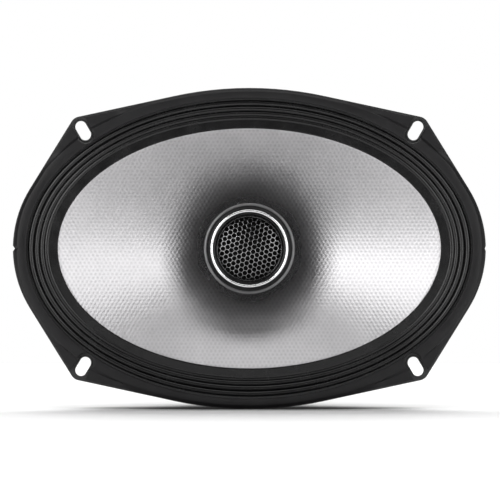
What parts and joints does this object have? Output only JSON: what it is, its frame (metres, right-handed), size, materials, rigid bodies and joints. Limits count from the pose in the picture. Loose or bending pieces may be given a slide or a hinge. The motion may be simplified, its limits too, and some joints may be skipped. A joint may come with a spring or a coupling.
{
  "type": "coaxial car speaker",
  "caption": "Oval coaxial car speaker: woven silver cone with multi-roll rubber edge, black eared flange, centre tweeter behind a domed mesh, steel basket and ring magnet.",
  "frame": {"origin": "centre of the four-slot screw pattern, in the plane of the panel that the flange sits on", "axes": "+X along the long axis of the oval, +Z along its short axis (up in use), +Y rearwards, away from the listener"},
  "size_m": [0.2368, 0.0809, 0.1608],
  "materials": {
    "trim_plastic": "satin black moulding",
    "gasket_foam": "matt closed-cell foam",
    "basket_steel": "semi-gloss black powder coat",
    "surround_rubber": "satin rubber",
    "cone_weave": "silver woven fibre with a satin sheen",
    "former_film": "thin rolled sheet",
    "copper_wire": "enamelled copper wire",
    "spider_cloth": "resin-treated cotton",
    "plated_steel": "zinc plate",
    "ferrite": "ground ferrite",
    "boot_rubber": "matt moulded rubber",
    "screw_steel": "zinc plate",
    "board": "phenolic board",
    "tinned_brass": "tin plate",
    "rivet_brass": "bare brass",
    "tinsel_braid": "braided copper tinsel",
    "lead_sleeve_light": "red insulation",
    "lead_sleeve_dark": "black insulation",
    "capacitor_sleeve": "shrink sleeve",
    "tinned_wire": "tinned wire",
    "tweeter_plastic": "fine-textured black moulding",
    "chrome_trim": "polished chrome",
    "grille_trim": "satin grey",
    "grille_mesh": "black painted mesh",
    "dome_silk": "coated silk",
    "plated_magnet": "nickel plate",
    "felt": "felt"
  },
  "bodies": {
    "frame": {"front_trim_ring": "trim_plastic", "panel_gasket": "gasket_foam", "basket": "basket_steel", "cone_surround": "surround_rubber", "spider": "spider_cloth", "top_plate": "plated_steel", "ferrite_magnet": "ferrite", "yoke": "plated_steel", "magnet_boot": "boot_rubber", "motor_screws": "screw_steel", "terminal_board": "board", "positive_tab": "tinned_brass", "negative_tab": "tinned_brass", "terminal_rivets": "rivet_brass", "tinsel_lead_positive": "tinsel_braid", "tinsel_lead_negative": "tinsel_braid", "tweeter_lead_positive": "lead_sleeve_light", "tweeter_lead_negative": "lead_sleeve_dark", "crossover_capacitor": "capacitor_sleeve", "capacitor_legs": "tinned_wire", "tweeter_post": "screw_steel", "post_washer": "screw_steel", "post_nut": "screw_steel", "tweeter_housing": "tweeter_plastic", "chrome_ring": "chrome_trim", "grille_ring": "grille_trim", "tweeter_grille": "grille_mesh", "tweeter_surround": "dome_silk", "tweeter_frame": "tweeter_plastic", "tweeter_pole_plate": "plated_steel", "tweeter_magnet": "plated_magnet", "tweeter_yoke": "plated_steel", "damping_pad": "felt"},
    "cone_assembly": {"cone": "cone_weave", "coil_former": "former_film", "coil_winding": "copper_wire"},
    "tweeter_diaphragm": {"tweeter_dome": "dome_silk", "tweeter_coil": "copper_wire"}
  },
  "joints": [
    {"name": "cone_travel", "type": "slide", "parent": "frame", "child": "cone_assembly", "axis": [0, -1, 0], "range_m": [-0.006, 0.006], "stiffness_N_per_m": 4000, "deforming": ["cone_surround", "spider", "tinsel_lead_positive", "tinsel_lead_negative"]},
    {"name": "tweeter_travel", "type": "slide", "parent": "frame", "child": "tweeter_diaphragm", "axis": [0, -1, 0], "range_m": [-0.0003, 0.0003], "stiffness_N_per_m": 500, "deforming": ["tweeter_surround"]}
  ]
}
